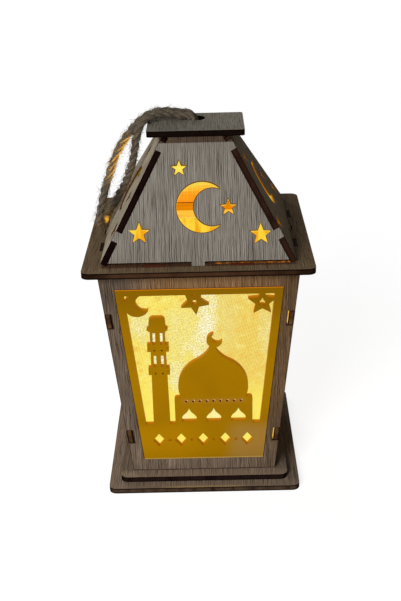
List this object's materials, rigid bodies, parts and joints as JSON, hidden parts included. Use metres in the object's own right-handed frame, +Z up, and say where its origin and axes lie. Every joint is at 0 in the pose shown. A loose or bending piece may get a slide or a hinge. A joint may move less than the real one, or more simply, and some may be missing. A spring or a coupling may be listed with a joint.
{
  "type": "fanous lantern",
  "caption": "Table lantern of tabbed grey board: spreading walls with pierced gold screens over lit film, hipped roof with crescent and star cut-outs, rope loop on the cap, light in the base.",
  "frame": {"origin": "middle of the lower base plate's underside", "axes": "+Z up, front of the lantern towards -Y, +X to the right seen from the front"},
  "size_m": [0.112, 0.112, 0.194],
  "materials": {
    "grey_board": "grey wood-grain face, dark burnt cut edges",
    "gold_acrylic": "gold mirror acrylic",
    "diffuser_film": "translucent woven film, lit from behind",
    "jute": "twisted natural fibre",
    "light_case": "satin moulded plastic",
    "light_lens": "translucent warm lens",
    "diode": "clear resin",
    "circuit_board": "solder mask",
    "cell_steel": "brushed",
    "contact_metal": "plain",
    "black_plastic": "satin"
  },
  "bodies": {
    "lantern": {"front_wall": "grey_board", "front_screen": "gold_acrylic", "front_diffuser": "diffuser_film", "front_roof_panel": "grey_board", "right_wall": "grey_board", "right_screen": "gold_acrylic", "right_diffuser": "diffuser_film", "right_roof_panel": "grey_board", "back_wall": "grey_board", "back_screen": "gold_acrylic", "back_diffuser": "diffuser_film", "back_roof_panel": "grey_board", "left_wall": "grey_board", "left_screen": "gold_acrylic", "left_diffuser": "diffuser_film", "left_roof_panel": "grey_board", "lower_base_plate": "grey_board", "upper_base_plate": "grey_board", "eave_plate": "grey_board", "cap_plate": "grey_board", "rope_loop": "jute", "rope_knot": "jute"},
    "light": {"light_housing": "light_case", "light_lens": "light_lens", "light_diode": "diode", "light_board": "circuit_board", "coin_cell": "cell_steel", "cell_side_contact": "contact_metal", "cell_top_contact": "contact_metal", "switch_body": "black_plastic"},
    "hatch": {"battery_hatch": "light_case"},
    "switch": {"switch_knob": "black_plastic"}
  },
  "joints": [
    {"name": "light_pull", "type": "slide", "parent": "lantern", "child": "light", "axis": [0, 0, -1], "range_m": [0, 0.046]},
    {"name": "hatch_drop", "type": "slide", "parent": "light", "child": "hatch", "axis": [0, 0, -1], "range_m": [0, 0.008]},
    {"name": "switch_slide", "type": "slide", "parent": "light", "child": "switch", "axis": [-1, 0, 0], "range_m": [0, 0.0022]}
  ]
}
